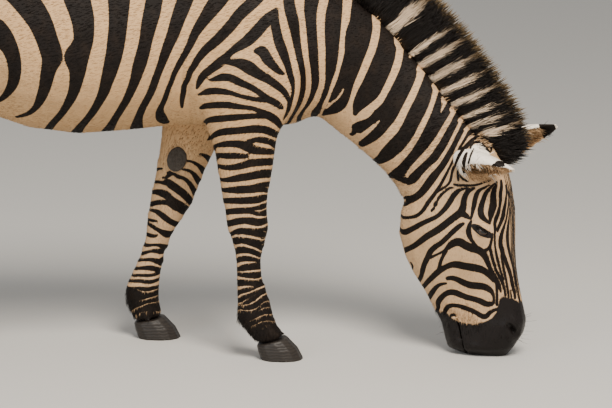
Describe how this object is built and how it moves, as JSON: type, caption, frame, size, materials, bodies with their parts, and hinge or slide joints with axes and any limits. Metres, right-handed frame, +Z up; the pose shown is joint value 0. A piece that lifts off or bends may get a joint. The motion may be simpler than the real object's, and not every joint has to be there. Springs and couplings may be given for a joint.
{
  "type": "zebra",
  "caption": "Life-size plains zebra grazing, head lowered to the floor, one forefoot ahead of the other, upright mane.",
  "frame": {"origin": "on the floor, under the middle of the animal's bounding box", "axes": "+X towards the nose, +Y to the animal's left, +Z up"},
  "size_m": [2.125, 0.516, 1.237],
  "materials": {
    "coat": "short flat hair, cream with black-brown stripes",
    "mane": "long coarse hair, black and cream in bands, brown at the tips",
    "muzzle": "bare black skin with a fine nap",
    "hoof": "dark horn with fine growth rings",
    "chestnut": "rough dark horn",
    "eye": "wet and glossy, dark brown"
  },
  "bodies": {
    "root": {"chestnut_left": "chestnut", "chestnut_right": "chestnut", "ear_left": "coat", "ear_right": "coat", "eye_left": "eye", "eye_right": "eye", "foreleg_left_cannon": "coat", "foreleg_left_forearm": "coat", "foreleg_left_hoof": "hoof", "foreleg_left_knee": "coat", "foreleg_left_pastern": "coat", "foreleg_right_cannon": "coat", "foreleg_right_forearm": "coat", "foreleg_right_hoof": "hoof", "foreleg_right_knee": "coat", "foreleg_right_pastern": "coat", "head": "coat", "hindleg_left_cannon": "coat", "hindleg_left_gaskin": "coat", "hindleg_left_hock": "coat", "hindleg_left_hoof": "hoof", "hindleg_left_pastern": "coat", "hindleg_left_thigh": "coat", "hindleg_right_cannon": "coat", "hindleg_right_gaskin": "coat", "hindleg_right_hock": "coat", "hindleg_right_hoof": "hoof", "hindleg_right_pastern": "coat", "hindleg_right_thigh": "coat", "mane": "mane", "muzzle": "muzzle", "neck_base": "coat", "neck_upper": "coat", "tail_dock": "coat", "tail_tuft": "mane", "trunk_barrel": "coat", "trunk_forequarter": "coat", "trunk_hindquarter": "coat"}
  },
  "joints": []
}
